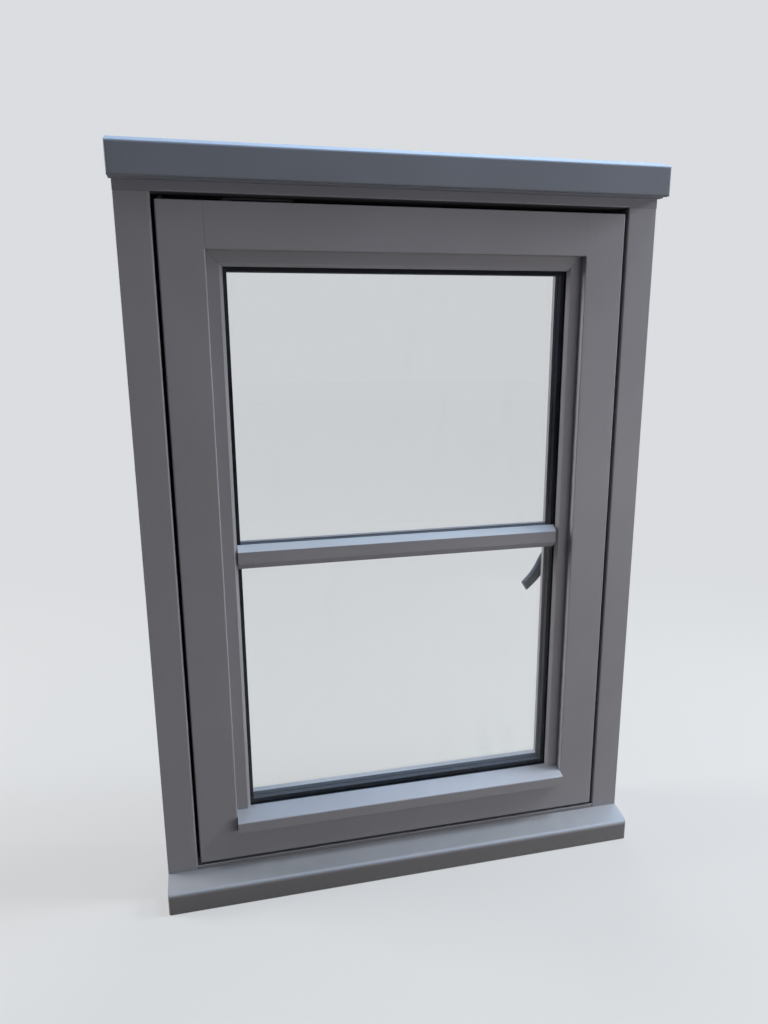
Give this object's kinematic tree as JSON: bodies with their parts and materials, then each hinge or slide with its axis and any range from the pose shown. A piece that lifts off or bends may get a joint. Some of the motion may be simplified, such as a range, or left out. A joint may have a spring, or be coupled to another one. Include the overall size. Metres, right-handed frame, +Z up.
{
  "type": "casement window",
  "caption": "Side-hung flush casement window: painted timber frame with sloped sill and head drip, glazed sash with one level bar, concealed friction stays, lock and lever handle.",
  "frame": {"origin": "on the sill's underside, midway along the window's width, in the plane of the outside face of the jambs and the sash", "axes": "+X to the right seen from outside, +Y through the window into the room, +Z up"},
  "size_m": [0.635, 0.127, 0.903],
  "materials": {
    "painted_timber": "satin mid-grey paint over planed timber",
    "clear_glass": "clear, faintly smeared",
    "spacer_bar": "matt black",
    "edge_sealant": "dull black",
    "glazing_tape": "black foam tape",
    "setting_block": "moulded grey",
    "weather_seal": "soft black",
    "lock_steel": "plated, dull",
    "stay_steel": "stainless, brushed along its length",
    "shoe_plastic": "moulded",
    "handle_coat": "satin gunmetal coat",
    "screw_steel": "bright zinc"
  },
  "bodies": {
    "frame": {"frame_sill": "painted_timber", "frame_head": "painted_timber", "frame_jamb_hinge_side": "painted_timber", "frame_jamb_lock_side": "painted_timber", "head_drip": "painted_timber", "seal_head": "weather_seal", "seal_sill": "weather_seal", "seal_hinge_side": "weather_seal", "seal_lock_side": "weather_seal", "stay_track_top": "stay_steel", "stay_track_bottom": "stay_steel", "keep_lower": "lock_steel", "keep_upper": "lock_steel", "track_screws": "screw_steel", "keep_screws": "screw_steel"},
    "stay_arm_top": {"stay_arm_top": "stay_steel"},
    "sash": {"sash_stile_hinge_side": "painted_timber", "sash_stile_lock_side": "painted_timber", "sash_rail_top": "painted_timber", "sash_rail_bottom": "painted_timber", "bead_top": "painted_timber", "bead_hinge_side": "painted_timber", "bead_lock_side": "painted_timber", "bead_bottom": "painted_timber", "glazing_bar_outer": "painted_timber", "glazing_bar_inner": "painted_timber", "cavity_bar": "spacer_bar", "outer_pane": "clear_glass", "inner_pane": "clear_glass", "spacer_frame": "spacer_bar", "edge_sealant": "edge_sealant", "glazing_tape_outer": "glazing_tape", "glazing_tape_inner": "glazing_tape", "setting_blocks": "setting_block", "lock_faceplate": "lock_steel", "gearbox_case": "lock_steel", "handle_rose": "handle_coat", "plate_screws": "screw_steel", "faceplate_screws": "screw_steel", "handle_screws": "screw_steel", "stay_plate_top": "stay_steel", "stay_plate_bottom": "stay_steel"},
    "shoe_top": {"stay_shoe_top": "shoe_plastic"},
    "shoe_bottom": {"stay_shoe_bottom": "shoe_plastic"},
    "stay_arm_bottom": {"stay_arm_bottom": "stay_steel"},
    "handle": {"handle_lever": "handle_coat", "handle_spindle": "lock_steel", "gearbox_pinion": "lock_steel"},
    "lock_rod": {"drive_rod": "lock_steel", "locking_cams": "lock_steel"}
  },
  "joints": [
    {"name": "stay_top_pivot", "type": "hinge", "parent": "frame", "child": "stay_arm_top", "pos_m": [-0.129, 0.028, 0.8504], "axis": [0, 0, 1], "range_deg": [0, 70]},
    {"name": "sash_swing", "type": "hinge", "parent": "stay_arm_top", "child": "sash", "pos_m": [-0.199, 0.028, 0.8504], "axis": [0, 0, 1], "range_deg": [-140, 0]},
    {"name": "shoe_top_pivot", "type": "hinge", "parent": "sash", "child": "shoe_top", "pos_m": [-0.269, 0.028, 0.8535], "axis": [0, 0, 1], "range_deg": [0, 70]},
    {"name": "shoe_bottom_pivot", "type": "hinge", "parent": "sash", "child": "shoe_bottom", "pos_m": [-0.269, 0.028, 0.038], "axis": [0, 0, 1], "range_deg": [0, 70]},
    {"name": "stay_bottom_pivot", "type": "hinge", "parent": "frame", "child": "stay_arm_bottom", "pos_m": [-0.129, 0.028, 0.0412], "axis": [0, 0, 1], "range_deg": [0, 70]},
    {"name": "handle_turn", "type": "hinge", "parent": "sash", "child": "handle", "pos_m": [0.243, 0.066, 0.402], "axis": [0, 1, 0], "range_deg": [-40, 50]},
    {"name": "rod_slide", "type": "slide", "parent": "sash", "child": "lock_rod", "axis": [0, 0, 1], "range_m": [-0.0105, 0.0084]}
  ],
  "couplings": [
    {"joint": "sash_swing", "follows": "stay_top_pivot", "ratio": -2},
    {"joint": "shoe_top_pivot", "follows": "stay_top_pivot", "ratio": 1},
    {"joint": "shoe_bottom_pivot", "follows": "stay_top_pivot", "ratio": 1},
    {"joint": "stay_bottom_pivot", "follows": "stay_top_pivot", "ratio": 1},
    {"joint": "rod_slide", "follows": "handle_turn", "m_per_rad": -0.012}
  ]
}
